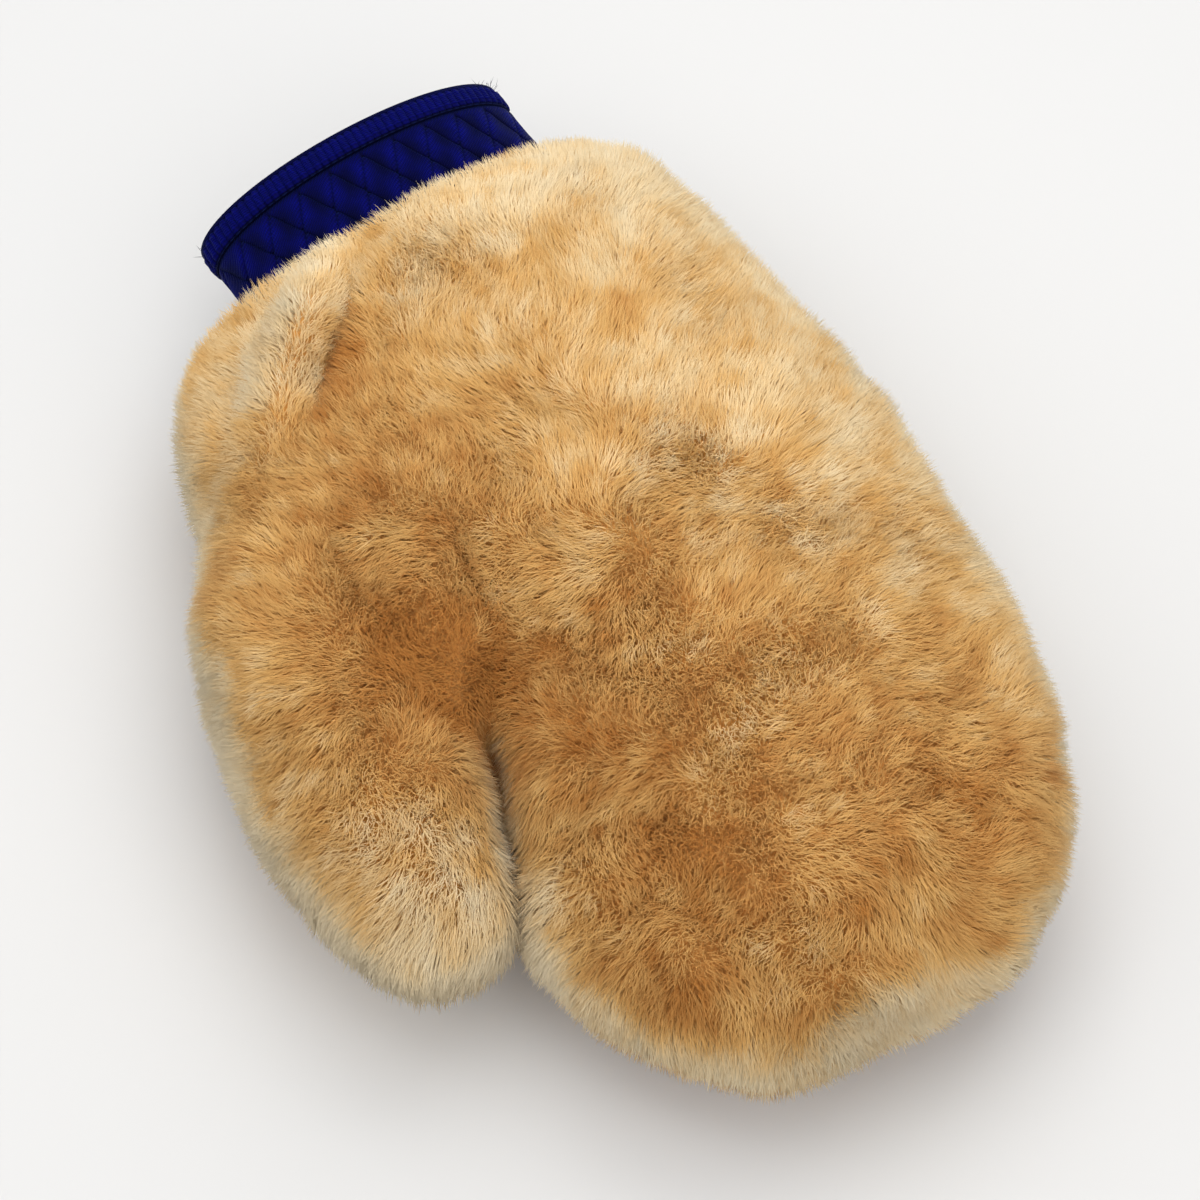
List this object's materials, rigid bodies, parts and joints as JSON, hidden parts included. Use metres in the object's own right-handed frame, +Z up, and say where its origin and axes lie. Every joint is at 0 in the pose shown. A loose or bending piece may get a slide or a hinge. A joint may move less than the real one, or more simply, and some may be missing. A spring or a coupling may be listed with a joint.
{
  "type": "wash mitt",
  "caption": "Sheepskin wash mitt with a separate thumb: deep wool pile on both faces, a hollow for the hand and a woven elastic cuff.",
  "frame": {"origin": "under the middle of the mitt, on the surface that it lies on", "axes": "+Z up, out of the back of the hand; -Y towards the fingertips and +Y towards the cuff; the thumb is on the -X side"},
  "size_m": [0.2016, 0.2932, 0.0751],
  "materials": {
    "fleece": "clipped wool pile, honey brown at the roots and pale at the tips",
    "hide": "suede side of a tanned sheepskin",
    "seam_thread": "overlocked polyester thread",
    "cuff_webbing": "woven elastic with a zigzag pattern",
    "cuff_rib": "ribbed woven edge",
    "cuff_thread": "navy sewing thread"
  },
  "bodies": {
    "hand": {"back_fleece_hand": "fleece", "palm_fleece_hand": "fleece", "back_hide_hand": "hide", "palm_hide_hand": "hide", "seam_thread_little_finger_side": "seam_thread", "seam_thread_thumb_side": "seam_thread", "crotch_bar_tack": "seam_thread"},
    "fingers": {"back_fleece_fingers": "fleece", "palm_fleece_fingers": "fleece", "back_hide_fingers": "hide", "palm_hide_fingers": "hide", "seam_thread_fingers": "seam_thread"},
    "thumb": {"back_fleece_thumb": "fleece", "palm_fleece_thumb": "fleece", "back_hide_thumb": "hide", "palm_hide_thumb": "hide", "seam_thread_thumb": "seam_thread"},
    "cuff": {"cuff_webbing_back": "cuff_webbing", "cuff_webbing_palm": "cuff_webbing", "cuff_ribbed_edge_back": "cuff_rib", "cuff_ribbed_edge_palm": "cuff_rib", "cuff_stitches_little_finger_side": "cuff_thread", "cuff_stitches_thumb_side": "cuff_thread", "cuff_stitch_rows": "cuff_thread"}
  },
  "joints": [
    {"name": "knuckle_fold", "type": "hinge", "parent": "hand", "child": "fingers", "pos_m": [0.028, -0.034, 0.034], "axis": [1, 0, 0], "range_deg": [-15, 45], "stiffness_Nm_per_rad": 0.25},
    {"name": "thumb_spread", "type": "hinge", "parent": "hand", "child": "thumb", "pos_m": [-0.045, -0.034, 0.036], "axis": [0, 0, -1], "range_deg": [0, 25], "stiffness_Nm_per_rad": 0.04},
    {"name": "wrist_flex", "type": "hinge", "parent": "hand", "child": "cuff", "pos_m": [0.00722, 0.10202, 0.036], "axis": [0.9903, 0.1392, 0], "range_deg": [-20, 20], "stiffness_Nm_per_rad": 0.12}
  ]
}
